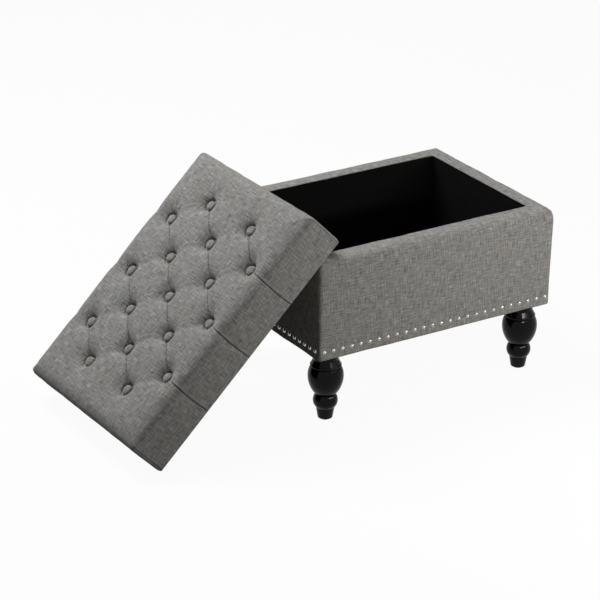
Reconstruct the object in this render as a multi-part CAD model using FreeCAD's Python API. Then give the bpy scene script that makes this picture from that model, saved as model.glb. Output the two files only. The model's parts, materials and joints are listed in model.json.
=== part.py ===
"""Upholstered storage bench with turned legs and a lift-off tufted lid.

Millimetres. X runs along the box, Y across it and Z up. The origin is on the floor, under the
middle of the box. The lid is stored leaning on the box's left end with its lower edge on the floor.
"""
import FreeCAD, Part
import math
import os

V = FreeCAD.Vector
X_AXIS = V(1, 0, 0)
Y_AXIS = V(0, 1, 0)
Z_AXIS = V(0, 0, 1)

# Upholstered box, outside sizes
BOX_LENGTH = 600.0
BOX_WIDTH = 445.0
BOX_HEIGHT = 230.0
BOX_CORNER_RADIUS = 8.0
RIM_OUTER_RADIUS = 16.0
RIM_INNER_RADIUS = 5.0

# Layers of the box, from the outside in
FABRIC = 1.5
WALL_FOAM = 10.0
RIM_FOAM = 14.0
PANEL = 12.0
RAIL_WIDTH = 15.0
RAIL_HEIGHT = 30.0
LINING = 3.0
BOTTOM_PANEL = 12.0
POST_LENGTH = 40.0
HEM = 25.0
HEM_GAP = 0.5

# Turned leg, from the floor up
GLIDE = 2.0
GLIDE_RADIUS = 11.0
GLIDE_PIN_RADIUS = 1.5
GLIDE_PIN_LENGTH = 12.0
FOOT_EDGE = 3.0
FOOT_TAPER = 23.0
RING_HEIGHT = 30.5
BULB_LOWER = 43.5
BULB_UPPER = 20.5
BEAD_HEIGHT = 9.0
COLLAR_HEIGHT = 26.5
FOOT_RADIUS = 16.5
ANKLE_RADIUS = 20.5
RING_RADIUS = 27.0
NECK_RADIUS = 22.0
BULB_RADIUS = 39.0
SHOULDER_RADIUS = 34.0
BEAD_GROOVE = 1.5
COLLAR_RADIUS = 27.5
COLLAR_FLARE = 9.0
LEG_INSET = 45.0

# Leg fixings
BOLT_RADIUS = 4.0
BOLT_IN_LEG = 35.0
T_NUT_RADIUS = 5.5
T_NUT_FLANGE_RADIUS = 10.0
T_NUT_FLANGE = 1.5
THREAD_CLEARANCE = 0.05

# Nail heads
NAIL_HEIGHT = 20.0
NAIL_HEAD_RADIUS = 5.0
NAIL_HEAD = 3.0
NAIL_SHANK_RADIUS = 0.8
NAIL_SHANK = 14.0
NAIL_PITCH_LONG = 23.0
NAIL_PITCH_SHORT = 20.5
NAIL_END_LONG = 12.5
NAIL_END_SHORT = 17.5

# Wood screws
SCREW_RADIUS = 2.0
SCREW_HEAD_RADIUS = 4.0
SCREW_HEAD = 2.5
PANEL_SCREW = 40.0
PANEL_SCREWS_PER_CORNER = 3
PANEL_SCREW_END = 35.0
DECK_SCREW = 30.0
DECK_SCREWS_PER_RAIL = 4
DECK_SCREW_END = 40.0
LOCATOR_SCREW = 35.0
HOLE_CLEARANCE = 0.1

# Lid, in its own frame: Z up from the underside, centred in X and Y
LID_OVERHANG = 3.0
LID_HEIGHT = 108.0
LID_EDGE_RADIUS = 20.0
LID_CORNER_RADIUS = 8.0
LID_SIDE_FOAM = 8.0
LID_RAIL_WIDTH = 20.0
LID_RAIL_HEIGHT = 30.0
DECK = 9.0
LID_DUST_COVER = 1.0
BATTEN_WIDTH = 30.0
BATTEN_OFFSET = 105.0
STRETCHER_RADIUS = 8.0
STRETCHER_HEIGHT = 16.0
STRETCHER_SOCKET = 12.0
STRETCHER_CLEARANCE = 0.05
STRETCHER_END_GAP = 0.3
LOCATOR_WIDTH = 18.0
LOCATOR_DEPTH = 12.0
LOCATOR_CLEARANCE = 5.0
LOCATOR_END_GAP = 29.0

# Tufting
TUFT_PITCH_X = 70.0
TUFT_PITCH_Y = 82.0
TUFT_COLUMNS = 3
DISH_RADIUS = 34.0
DISH_DEPTH = 11.0
SEAT_DEPTH = 1.0
SEAT_CLEARANCE = 1.0
BUTTON_RADIUS = 11.0
BUTTON_RIM = 2.5
BUTTON_DOME = 5.5
TIE_RADIUS = 1.0
TIE_CLEARANCE = 0.3
WASHER_RADIUS = 9.0
WASHER = 3.0
KNOT_RADIUS = 2.5
KNOT_HEIGHT = 3.0

# How the lid leans
LID_PAST_RIM = 59.0
RIM_GAP = 0.3
FLOOR_GAP = 0.2

# Levels and distances that follow
FACE_TO_PANEL = FABRIC + WALL_FOAM
FACE_TO_RAIL = FACE_TO_PANEL + PANEL
FACE_TO_CORE = FACE_TO_RAIL + RAIL_WIDTH
RIM_WIDTH = FACE_TO_CORE + LINING
ANKLE_Z = GLIDE + FOOT_EDGE + FOOT_TAPER
NECK_Z = ANKLE_Z + RING_HEIGHT
BULB_Z = NECK_Z + BULB_LOWER
SHOULDER_Z = BULB_Z + BULB_UPPER
BEAD_TOP_Z = SHOULDER_Z + BEAD_HEIGHT
LEG_HEIGHT = BEAD_TOP_Z + COLLAR_HEIGHT
RIM_TOP = LEG_HEIGHT + BOX_HEIGHT
WOOD_BOTTOM = LEG_HEIGHT + FABRIC
WOOD_TOP = RIM_TOP - FABRIC - RIM_FOAM
RAIL_BOTTOM = WOOD_TOP - RAIL_HEIGHT
FLOOR_TOP = WOOD_BOTTOM + BOTTOM_PANEL
LINING_BOTTOM = FLOOR_TOP + LINING
LINING_TOP = RIM_TOP - RIM_INNER_RADIUS
LID_LENGTH = BOX_LENGTH + 2 * LID_OVERHANG
LID_WIDTH = BOX_WIDTH + 2 * LID_OVERHANG
LID_FRAME_LENGTH = LID_LENGTH - 2 * (FABRIC + LID_SIDE_FOAM)
LID_FRAME_WIDTH = LID_WIDTH - 2 * (FABRIC + LID_SIDE_FOAM)
LID_RAIL_TOP = FABRIC + LID_RAIL_HEIGHT
DECK_TOP = LID_RAIL_TOP + DECK
BUTTON_SEAT = LID_HEIGHT - DISH_DEPTH - SEAT_DEPTH
LOCATOR_TOP = FABRIC - LID_DUST_COVER
LOCATOR_LENGTH = LID_LENGTH - 2 * (LID_PAST_RIM + LOCATOR_END_GAP)
SIDES = (-1, 1)
FACES = ("front", "right", "back", "left")


def centred(length, width, low, high):
    """A block centred on the Z axis, from z = low to z = high."""
    return Part.makeBox(length, width, high - low, V(-length / 2, -width / 2, low))


def block(low, high):
    """A block between two opposite corners, given in either order."""
    start = V(min(low[0], high[0]), min(low[1], high[1]), min(low[2], high[2]))
    end = V(max(low[0], high[0]), max(low[1], high[1]), max(low[2], high[2]))
    return Part.makeBox(end.x - start.x, end.y - start.y, end.z - start.z, start)


def cylinder(radius, start, end):
    """A round bar between two points."""
    return Part.makeCylinder(radius, (end - start).Length, start, end - start)


def turned(edges):
    """A solid of revolution about Z, from profile edges in the XZ plane that start and end on Z."""
    first = edges[0].Vertexes[0].Point
    last = edges[-1].Vertexes[-1].Point
    outline = Part.Wire(edges + [Part.makeLine(last, first)])
    return Part.Face(outline).revolve(V(0, 0, 0), Z_AXIS, 360)


def polyline(points):
    """Straight profile edges through (radius, height) points."""
    ends = [V(radius, 0, height) for radius, height in points]
    return [Part.makeLine(a, b) for a, b in zip(ends, ends[1:])]


def belly_arc(belly, end):
    """The circle arc that stands upright at the belly and runs through end, as (centre, radius)."""
    inset = belly[0] - end[0]
    rise = end[1] - belly[1]
    radius = (inset ** 2 + rise ** 2) / (2 * inset)
    return belly[0] - radius, radius


def bulge(start, end, belly):
    """A profile edge from start to end, one of which is the belly, bulging away from the axis."""
    other = end if start == belly else start
    centre, radius = belly_arc(belly, other)
    height = (start[1] + end[1]) / 2
    middle = (centre + math.sqrt(radius ** 2 - (height - belly[1]) ** 2), height)
    points = [V(r, 0, z) for r, z in (start, middle, end)]
    return Part.Arc(*points).toShape()


def rounded_profile(length, low, high, radius):
    """A tall rectangle in the XZ plane with both upper corners rounded."""
    half = length / 2
    bend = radius * (1 - math.sqrt(0.5))
    points = [V(-half, 0, low), V(half, 0, low), V(half, 0, high - radius),
              V(half - bend, 0, high - bend), V(half - radius, 0, high),
              V(radius - half, 0, high), V(bend - half, 0, high - bend), V(-half, 0, high - radius)]
    edges = [Part.makeLine(points[0], points[1]), Part.makeLine(points[1], points[2]),
             Part.Arc(points[2], points[3], points[4]).toShape(),
             Part.makeLine(points[4], points[5]),
             Part.Arc(points[5], points[6], points[7]).toShape(),
             Part.makeLine(points[7], points[0])]
    return Part.Face(Part.Wire(edges))


def soft_block(length, width, low, high, edge_radius, corner_radius):
    """A block with rounded upright corners and rounded upper edges that meet in mitres."""
    upright = centred(length, width, low, high)
    corners = [e for e in upright.Edges if abs(e.tangentAt(e.FirstParameter).z) > 0.5]
    upright = upright.makeFillet(corner_radius, corners)
    along = rounded_profile(length, low, high, edge_radius).extrude(V(0, width, 0))
    along.translate(V(0, -width / 2, 0))
    across = rounded_profile(width, low, high, edge_radius).extrude(V(0, length, 0))
    across.translate(V(0, -length / 2, 0))
    across.rotate(V(0, 0, 0), Z_AXIS, 90)
    return upright.common(along).common(across)


def wall_pair(span, thickness, run, low, high, edge_radius):
    """Two walls that reach in by thickness from faces span apart, their inner upper edges rounded."""
    walls = []
    for side in SIDES:
        wall = rounded_profile(2 * thickness, low, high, edge_radius).extrude(V(0, run, 0))
        wall.translate(V(side * span / 2, -run / 2, 0))
        walls.append(wall)
    return walls[0].fuse(walls[1])


def box_envelope(inset):
    """The padded walls of the box as one ring, with every face moved in by inset."""
    length = BOX_LENGTH - 2 * inset
    width = BOX_WIDTH - 2 * inset
    low = LEG_HEIGHT + inset
    high = RIM_TOP - inset
    thickness = RIM_WIDTH - 2 * inset
    inner_radius = RIM_INNER_RADIUS - inset
    outer_radius = RIM_OUTER_RADIUS - inset
    outside = soft_block(length, width, low, high, outer_radius, BOX_CORNER_RADIUS - inset)
    ends = wall_pair(length, thickness, width, low, high, inner_radius)
    sides = wall_pair(width, thickness, length, low, high, inner_radius)
    sides.rotate(V(0, 0, 0), Z_AXIS, 90)
    return outside.common(ends.fuse(sides))


def mitre_wedges(height):
    """Four prisms that share out a ring of walls along its corner mitres."""
    x = BOX_LENGTH / 2
    y = BOX_WIDTH / 2
    inner_x = x - RIM_WIDTH
    inner_y = y - RIM_WIDTH
    outlines = {
        "front": [(-x, -y), (x, -y), (inner_x, -inner_y), (-inner_x, -inner_y)],
        "right": [(x, -y), (x, y), (inner_x, inner_y), (inner_x, -inner_y)],
        "back": [(x, y), (-x, y), (-inner_x, inner_y), (inner_x, inner_y)],
        "left": [(-x, y), (-x, -y), (-inner_x, -inner_y), (-inner_x, inner_y)],
    }
    wedges = {}
    for name, corners in outlines.items():
        points = [V(px, py, 0) for px, py in corners + corners[:1]]
        wedges[name] = Part.Face(Part.makePolygon(points)).extrude(V(0, 0, height))
    return wedges


def at_face(shape, side, along):
    """Copy a piece made pointing out along +Z onto one outer face of the box, at z = 0."""
    turns = {"front": (0, -BOX_WIDTH / 2, 0), "right": (BOX_LENGTH / 2, 0, 90),
             "back": (0, BOX_WIDTH / 2, 180), "left": (-BOX_LENGTH / 2, 0, 270)}
    x, y, turn = turns[side]
    piece = shape.copy()
    piece.rotate(V(0, 0, 0), X_AXIS, 90)
    piece.translate(V(along, 0, 0))
    piece.rotate(V(0, 0, 0), Z_AXIS, turn)
    piece.translate(V(x, y, 0))
    return piece


def spread(count, length, end):
    """Evenly spaced positions along a centred length, kept back from both ends."""
    gap = (length - 2 * end) / (count - 1)
    return [end - length / 2 + gap * i for i in range(count)]


def nail_positions(side):
    """Where the nails of one face stand along it."""
    long_side = side in ("front", "back")
    length = BOX_LENGTH if long_side else BOX_WIDTH
    pitch = NAIL_PITCH_LONG if long_side else NAIL_PITCH_SHORT
    end = NAIL_END_LONG if long_side else NAIL_END_SHORT
    count = round((length - 2 * end) / pitch) + 1
    return spread(count, length, end)


def nail(clearance=0.0):
    """A dome-headed upholstery nail, its head on z = 0 and its shank going down."""
    shank = cylinder(NAIL_SHANK_RADIUS + clearance, V(0, 0, -NAIL_SHANK), V(0, 0, 0))
    if clearance:
        return shank
    outline = polyline([(0, -NAIL_SHANK), (NAIL_SHANK_RADIUS, -NAIL_SHANK),
                        (NAIL_SHANK_RADIUS, 0), (NAIL_HEAD_RADIUS, 0)])
    dome = (NAIL_HEAD_RADIUS ** 2 + NAIL_HEAD ** 2) / (2 * NAIL_HEAD)
    half_way = NAIL_HEAD_RADIUS / 2
    crest = NAIL_HEAD - dome + math.sqrt(dome ** 2 - half_way ** 2)
    points = [V(NAIL_HEAD_RADIUS, 0, 0), V(half_way, 0, crest), V(0, 0, NAIL_HEAD)]
    outline.append(Part.Arc(*points).toShape())
    return turned(outline)


def nail_row(side, clearance=0.0):
    """Every nail of one face, or their holes when a clearance is given."""
    row = []
    for along in nail_positions(side):
        piece = at_face(nail(clearance), side, along)
        piece.translate(V(0, 0, LEG_HEIGHT + NAIL_HEIGHT))
        row.append(piece)
    return row


def nail_holes():
    """The holes of every nail round the box."""
    return [hole for side in FACES for hole in nail_row(side, HOLE_CLEARANCE)]


def screw(length, clearance=0.0):
    """A wood screw with its head's top on z = 0, pointing down."""
    head = cylinder(SCREW_HEAD_RADIUS + clearance, V(0, 0, -SCREW_HEAD), V(0, 0, 0))
    shank = cylinder(SCREW_RADIUS + clearance, V(0, 0, -length), V(0, 0, -SCREW_HEAD))
    return head.fuse(shank)


def panel_screws(clearance=0.0):
    """Screws through the front and back panels into the edges of the end panels."""
    screws = []
    reach = BOX_LENGTH / 2 - FACE_TO_PANEL - PANEL / 2
    height = WOOD_TOP - WOOD_BOTTOM
    for side in ("front", "back"):
        for along in (-reach, reach):
            for level in spread(PANEL_SCREWS_PER_CORNER, height, PANEL_SCREW_END):
                piece = screw(PANEL_SCREW, clearance)
                piece.translate(V(0, 0, -FACE_TO_PANEL))
                piece = at_face(piece, side, along)
                piece.translate(V(0, 0, WOOD_BOTTOM + height / 2 + level))
                screws.append(piece)
    return screws


def leg_places():
    """The centre of each leg, by name."""
    x = BOX_LENGTH / 2 - LEG_INSET
    y = BOX_WIDTH / 2 - LEG_INSET
    return {"front_left": V(-x, -y, 0), "front_right": V(x, -y, 0),
            "back_left": V(-x, y, 0), "back_right": V(x, y, 0)}


def at_legs(shape):
    """One copy of a piece at each leg."""
    copies = []
    for place in leg_places().values():
        piece = shape.copy()
        piece.translate(place)
        copies.append(piece)
    return copies


def glide(clearance=0.0):
    """The nailed plastic glide under a foot."""
    pad = cylinder(GLIDE_RADIUS, V(0, 0, 0), V(0, 0, GLIDE))
    pin = cylinder(GLIDE_PIN_RADIUS + clearance, V(0, 0, GLIDE), V(0, 0, GLIDE + GLIDE_PIN_LENGTH))
    return pad.fuse(pin)


def hanger_bolt(clearance=0.0):
    """The double-ended bolt between a leg and its T-nut."""
    low = LEG_HEIGHT - BOLT_IN_LEG
    return cylinder(BOLT_RADIUS + clearance, V(0, 0, low), V(0, 0, FLOOR_TOP - T_NUT_FLANGE))


def t_nut(clearance=0.0):
    """The threaded insert in the bottom panel, with its flange flush with the panel's top."""
    flange_low = FLOOR_TOP - T_NUT_FLANGE
    barrel = cylinder(T_NUT_RADIUS + clearance, V(0, 0, WOOD_BOTTOM), V(0, 0, flange_low))
    flange = cylinder(T_NUT_FLANGE_RADIUS + clearance, V(0, 0, flange_low), V(0, 0, FLOOR_TOP))
    body = barrel.fuse(flange)
    if clearance:
        return body
    return body.cut(hanger_bolt(THREAD_CLEARANCE))


def leg():
    """The turned leg: a tapered foot, a ring, a neck, a bulb, a bead and a flared collar."""
    foot_z = GLIDE + FOOT_EDGE
    ring_z = (ANKLE_Z + NECK_Z) / 2
    groove = (SHOULDER_RADIUS - BEAD_GROOVE, SHOULDER_Z + BEAD_GROOVE)
    bead = (SHOULDER_RADIUS, (groove[1] + BEAD_TOP_Z) / 2)
    bead_top = (groove[0], BEAD_TOP_Z - BEAD_GROOVE)
    ankle = (ANKLE_RADIUS, ANKLE_Z)
    ring = (RING_RADIUS, ring_z)
    neck = (NECK_RADIUS, NECK_Z)
    belly = (BULB_RADIUS, BULB_Z)
    shoulder = (SHOULDER_RADIUS, SHOULDER_Z)
    edges = polyline([(0, GLIDE), (FOOT_RADIUS - FOOT_EDGE, GLIDE)])
    edge_bend = FOOT_EDGE * (1 - math.sqrt(0.5))
    edges.append(Part.Arc(V(FOOT_RADIUS - FOOT_EDGE, 0, GLIDE),
                          V(FOOT_RADIUS - edge_bend, 0, GLIDE + edge_bend),
                          V(FOOT_RADIUS, 0, foot_z)).toShape())
    edges += polyline([(FOOT_RADIUS, foot_z), ankle])
    edges.append(bulge(ankle, ring, ring))
    edges.append(bulge(ring, neck, ring))
    edges.append(bulge(neck, belly, belly))
    edges.append(bulge(belly, shoulder, belly))
    edges += polyline([shoulder, groove])
    edges.append(Part.Arc(*[V(r, 0, z) for r, z in (groove, bead, bead_top)]).toShape())
    collar = [(COLLAR_RADIUS, BEAD_TOP_Z + COLLAR_FLARE), (COLLAR_RADIUS, LEG_HEIGHT), (0, LEG_HEIGHT)]
    edges += polyline([bead_top] + collar)
    return turned(edges).cut(hanger_bolt(THREAD_CLEARANCE)).cut(glide(THREAD_CLEARANCE))


def butt_boards(face, thickness, low, high):
    """Four upright boards, the end ones between the long ones, with outer faces a given depth in."""
    x = BOX_LENGTH / 2 - face
    y = BOX_WIDTH / 2 - face
    boards = {}
    for side, sign in (("front", -1), ("back", 1)):
        boards[side] = block((-x, sign * y, low), (x, sign * (y - thickness), high))
    for side, sign in (("left", -1), ("right", 1)):
        boards[side] = block((sign * x, thickness - y, low), (sign * (x - thickness), y - thickness, high))
    return boards


def box_panels():
    """Front and back panels at full length, with the end panels between them."""
    holes = panel_screws(HOLE_CLEARANCE) + nail_holes()
    panels = butt_boards(FACE_TO_PANEL, PANEL, WOOD_BOTTOM, WOOD_TOP)
    return {side: panel.cut(holes) for side, panel in panels.items()}


def corner_posts():
    """Four posts that stand on the bottom panel and carry the ends of the rim rails."""
    posts = []
    x = BOX_LENGTH / 2 - FACE_TO_RAIL
    y = BOX_WIDTH / 2 - FACE_TO_RAIL
    for sx in SIDES:
        for sy in SIDES:
            inner = (sx * (x - POST_LENGTH), sy * (y - RAIL_WIDTH), RAIL_BOTTOM)
            posts.append(block((sx * x, sy * y, FLOOR_TOP), inner))
    holes = panel_screws(HOLE_CLEARANCE)
    return [post.cut(holes) for post in posts]


def bottom_panel():
    """The plywood bottom between the walls, bored for the T-nuts."""
    length = BOX_LENGTH - 2 * FACE_TO_RAIL
    width = BOX_WIDTH - 2 * FACE_TO_RAIL
    return centred(length, width, WOOD_BOTTOM, FLOOR_TOP).cut(at_legs(t_nut(HOLE_CLEARANCE)))


def floor_liner():
    """The lined board on the bottom panel, under the lining boards."""
    length = BOX_LENGTH - 2 * FACE_TO_CORE
    width = BOX_WIDTH - 2 * FACE_TO_CORE
    return centred(length, width, FLOOR_TOP, LINING_BOTTOM)


def box_pads():
    """Foam on the outer walls and over the rim, down to the top of the lining, one piece per wall."""
    wood = centred(BOX_LENGTH - 2 * FACE_TO_PANEL, BOX_WIDTH - 2 * FACE_TO_PANEL, LEG_HEIGHT, WOOD_TOP)
    lined = centred(BOX_LENGTH - 2 * FACE_TO_CORE, BOX_WIDTH - 2 * FACE_TO_CORE, LEG_HEIGHT, LINING_TOP)
    foam = box_envelope(FABRIC).cut([wood, lined])
    pads = {}
    for side, wedge in mitre_wedges(RIM_TOP).items():
        pads[side] = foam.common(wedge).cut(nail_row(side, HOLE_CLEARANCE))
    return pads


def box_cover():
    """The outer fabric: up the walls, over the rim and down to the lining, with a hem underneath."""
    skin = box_envelope(0).cut(box_envelope(FABRIC))
    inside = centred(BOX_LENGTH - 2 * HEM, BOX_WIDTH - 2 * HEM, 0, LINING_TOP)
    return skin.cut(inside).cut(nail_holes())


def box_dust_cover():
    """The black cloth under the bottom panel, inside the hem."""
    gap = HEM + HEM_GAP
    cloth = centred(BOX_LENGTH - 2 * gap, BOX_WIDTH - 2 * gap, LEG_HEIGHT, WOOD_BOTTOM)
    return cloth.cut(at_legs(hanger_bolt(HOLE_CLEARANCE)))


def tuft_points():
    """Button positions: columns of three and two that alternate along the lid."""
    points = []
    for column in range(-TUFT_COLUMNS, TUFT_COLUMNS + 1):
        rows = (-1, 1) if column % 2 else (-2, 0, 2)
        points += [V(column * TUFT_PITCH_X, row * TUFT_PITCH_Y, 0) for row in rows]
    return points


def at_tufts(shape):
    """One copy of a piece at each button."""
    copies = []
    for point in tuft_points():
        piece = shape.copy()
        piece.translate(point)
        copies.append(piece)
    return copies


def dish(inset):
    """The hollow that a button pulls into the cushion, with its walls moved out by inset."""
    radius = (DISH_RADIUS ** 2 + DISH_DEPTH ** 2) / (2 * DISH_DEPTH)
    centre = V(0, 0, LID_HEIGHT - DISH_DEPTH + radius)
    bowl = Part.makeSphere(radius + inset, centre)
    seat_radius = BUTTON_RADIUS + SEAT_CLEARANCE + inset
    seat = cylinder(seat_radius, V(0, 0, BUTTON_SEAT - inset), V(0, 0, LID_HEIGHT))
    return bowl.fuse(seat)


def lid_envelope(inset):
    """The outside of the padded lid, with every face moved in by inset."""
    length = LID_LENGTH - 2 * inset
    width = LID_WIDTH - 2 * inset
    edge = LID_EDGE_RADIUS - inset
    slab = soft_block(length, width, inset, LID_HEIGHT - inset, edge, LID_CORNER_RADIUS - inset)
    return slab.cut(at_tufts(dish(inset)))


def button():
    """A covered button: a flat disc with a domed top."""
    shoulder = BUTTON_SEAT + BUTTON_RIM
    top = shoulder + BUTTON_DOME
    dome = (BUTTON_RADIUS ** 2 + BUTTON_DOME ** 2) / (2 * BUTTON_DOME)
    half_way = BUTTON_RADIUS / 2
    crest = top - dome + math.sqrt(dome ** 2 - half_way ** 2)
    outline = polyline([(0, BUTTON_SEAT), (BUTTON_RADIUS, BUTTON_SEAT), (BUTTON_RADIUS, shoulder)])
    points = [V(BUTTON_RADIUS, 0, shoulder), V(half_way, 0, crest), V(0, 0, top)]
    outline.append(Part.Arc(*points).toShape())
    return turned(outline)


def washer():
    """The flat button under the deck that a tie is knotted on."""
    disc = cylinder(WASHER_RADIUS, V(0, 0, LID_RAIL_TOP - WASHER), V(0, 0, LID_RAIL_TOP))
    return disc.cut(tie_hole())


def tie():
    """The twine from a button down to its knot."""
    knot_top = LID_RAIL_TOP - WASHER
    twine = cylinder(TIE_RADIUS, V(0, 0, knot_top), V(0, 0, BUTTON_SEAT))
    knot = cylinder(KNOT_RADIUS, V(0, 0, knot_top - KNOT_HEIGHT), V(0, 0, knot_top))
    return twine.fuse(knot)


def tie_hole():
    """The way that a tie takes through the layers of the lid."""
    return cylinder(TIE_RADIUS + TIE_CLEARANCE, V(0, 0, 0), V(0, 0, BUTTON_SEAT))


def stretcher(clearance=0.0):
    """The round cross piece between the long rails of the lid's frame."""
    reach = LID_FRAME_WIDTH / 2 - LID_RAIL_WIDTH + STRETCHER_SOCKET
    if clearance:
        reach += STRETCHER_END_GAP
    ends = [V(0, side * reach, STRETCHER_HEIGHT) for side in SIDES]
    return cylinder(STRETCHER_RADIUS + clearance, *ends)


def deck_screws(clearance=0.0):
    """Screws through the deck into the lid's rails."""
    y = LID_FRAME_WIDTH / 2 - LID_RAIL_WIDTH / 2
    x = LID_FRAME_LENGTH / 2 - LID_RAIL_WIDTH / 2
    places = [(side * x, 0) for side in SIDES]
    for along in spread(DECK_SCREWS_PER_RAIL, LID_FRAME_LENGTH, DECK_SCREW_END):
        places += [(along, side * y) for side in SIDES]
    screws = []
    for px, py in places:
        piece = screw(DECK_SCREW, clearance)
        piece.translate(V(px, py, DECK_TOP))
        screws.append(piece)
    return screws


def locator_y():
    """The distance from the lid's middle to the centre line of a locating batten."""
    return BOX_WIDTH / 2 - RIM_WIDTH - LOCATOR_CLEARANCE - LOCATOR_WIDTH / 2


def locator_screws(clearance=0.0):
    """Screws up through the locating battens into the cross battens."""
    screws = []
    for side_x in SIDES:
        for side_y in SIDES:
            piece = screw(LOCATOR_SCREW, clearance)
            piece.rotate(V(0, 0, 0), X_AXIS, 180)
            piece.translate(V(side_x * BATTEN_OFFSET, side_y * locator_y(), LOCATOR_TOP - LOCATOR_DEPTH))
            screws.append(piece)
    return screws


def lid_frame():
    """Rails, cross battens, locating battens and deck of the lid."""
    half_length = LID_FRAME_LENGTH / 2
    half_width = LID_FRAME_WIDTH / 2
    inner_width = half_width - LID_RAIL_WIDTH
    holes = deck_screws(HOLE_CLEARANCE) + locator_screws(HOLE_CLEARANCE)
    holes.append(stretcher(STRETCHER_CLEARANCE))
    nodes = {}
    for name, sign in (("front", -1), ("back", 1)):
        rail = block((-half_length, sign * half_width, FABRIC),
                     (half_length, sign * inner_width, LID_RAIL_TOP))
        nodes["lid_rail_" + name] = rail.cut(holes)
    for name, sign in (("lower", -1), ("upper", 1)):
        rail = block((sign * half_length, -inner_width, FABRIC),
                     (sign * (half_length - LID_RAIL_WIDTH), inner_width, LID_RAIL_TOP))
        nodes["lid_rail_" + name] = rail.cut(holes)
        middle = sign * BATTEN_OFFSET
        batten = block((middle - BATTEN_WIDTH / 2, -inner_width, FABRIC),
                       (middle + BATTEN_WIDTH / 2, inner_width, LID_RAIL_TOP))
        nodes["lid_batten_" + name] = batten.cut(holes)
    for name, sign in (("front", -1), ("back", 1)):
        locator = centred(LOCATOR_LENGTH, LOCATOR_WIDTH, LOCATOR_TOP - LOCATOR_DEPTH, LOCATOR_TOP)
        locator.translate(V(0, sign * locator_y(), 0))
        nodes["lid_locator_" + name] = locator.cut(holes)
    deck = centred(LID_FRAME_LENGTH, LID_FRAME_WIDTH, LID_RAIL_TOP, DECK_TOP)
    nodes["lid_deck"] = deck.cut(holes + at_tufts(tie_hole()))
    return nodes


def lid_soft_parts():
    """Foam, fabric and dust cover of the lid."""
    inner = lid_envelope(FABRIC)
    ties = at_tufts(tie_hole())
    frame_room = centred(LID_FRAME_LENGTH, LID_FRAME_WIDTH, 0, DECK_TOP)
    underside = centred(LID_LENGTH - 2 * HEM, LID_WIDTH - 2 * HEM, -FABRIC, DECK_TOP)
    gap = HEM + HEM_GAP
    cloth = centred(LID_LENGTH - 2 * gap, LID_WIDTH - 2 * gap, LOCATOR_TOP, FABRIC)
    return {
        "lid_foam": inner.cut(frame_room).cut(ties),
        "lid_cover": lid_envelope(0).cut(inner).cut(underside).cut(ties),
        "lid_dust_cover": cloth.cut(locator_screws(HOLE_CLEARANCE)),
    }


def lean_angle():
    """The lid's slope, with its upper end past the rim by a given length and its lower end on the floor."""
    below_rim = LID_LENGTH - LID_PAST_RIM
    stand_off = RIM_OUTER_RADIUS + RIM_GAP
    rise = RIM_TOP - RIM_OUTER_RADIUS - FLOOR_GAP
    return math.asin(rise / math.hypot(below_rim, stand_off)) + math.atan2(stand_off, below_rim)


def lean(shape):
    """Move a piece from the lid's own frame to where the lid leans on the box's left end."""
    angle = lean_angle()
    along = V(math.cos(angle), 0, math.sin(angle))
    outward = V(-math.sin(angle), 0, math.cos(angle))
    edge_centre = V(RIM_OUTER_RADIUS - BOX_LENGTH / 2, 0, RIM_TOP - RIM_OUTER_RADIUS)
    contact = edge_centre + outward * (RIM_OUTER_RADIUS + RIM_GAP)
    middle = contact + along * (LID_PAST_RIM - LID_LENGTH / 2)
    placed = shape.copy()
    placed.rotate(V(0, 0, 0), Y_AXIS, -math.degrees(angle))
    placed.translate(middle)
    return placed


def box_nodes():
    """Every node of the box, as a list of solids by name."""
    nodes = {}
    for side, panel in box_panels().items():
        nodes["panel_" + side] = [panel]
    for side, pad in box_pads().items():
        nodes["pad_" + side] = [pad]
    for side, rail in butt_boards(FACE_TO_RAIL, RAIL_WIDTH, RAIL_BOTTOM, WOOD_TOP).items():
        nodes["rim_rail_" + side] = [rail.cut(panel_screws(HOLE_CLEARANCE))]
    for side, board in butt_boards(FACE_TO_CORE, LINING, LINING_BOTTOM, LINING_TOP).items():
        nodes["lining_" + side] = [board]
    for side in FACES:
        nodes["nails_" + side] = nail_row(side)
    nodes["corner_posts"] = corner_posts()
    nodes["bottom_panel"] = [bottom_panel()]
    nodes["floor_liner"] = [floor_liner()]
    nodes["box_cover"] = [box_cover()]
    nodes["box_dust_cover"] = [box_dust_cover()]
    nodes["panel_screws"] = panel_screws()
    for name, place in leg_places().items():
        piece = leg()
        piece.translate(place)
        nodes["leg_" + name] = [piece]
    nodes["hanger_bolts"] = at_legs(hanger_bolt())
    nodes["t_nuts"] = at_legs(t_nut())
    nodes["leg_glides"] = at_legs(glide())
    return nodes


def lid_nodes():
    """Every node of the lid, leaning on the box, as a list of solids by name."""
    flat = {name: [shape] for name, shape in {**lid_frame(), **lid_soft_parts()}.items()}
    flat["lid_stretcher"] = [stretcher()]
    flat["lid_buttons"] = at_tufts(button())
    flat["button_ties"] = at_tufts(tie())
    flat["tie_washers"] = at_tufts(washer())
    flat["deck_screws"] = deck_screws()
    flat["locator_screws"] = locator_screws()
    return {name: [lean(shape) for shape in shapes] for name, shapes in flat.items()}


def export(nodes):
    """Write one STEP file per node."""
    os.makedirs("parts", exist_ok=True)
    for name, shapes in nodes.items():
        solids = [solid for shape in shapes for solid in shape.Solids]
        shape = solids[0] if len(solids) == 1 else Part.makeCompound(solids)
        shape.exportStep("parts/" + name + ".step")
        print(name, len(solids), round(shape.Volume), shape.isValid())


export({**box_nodes(), **lid_nodes()})
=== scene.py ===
"""Storage bench, dressed for rendering: upholstered box, tufted lid, lining, nails and turned legs.

Metres, in the frame's own axes: X along the box, Y across it, Z up, the origin on the floor.
"""
import json
import math
import bmesh
import bpy
import numpy as np
from mathutils import Matrix, Vector


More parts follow.
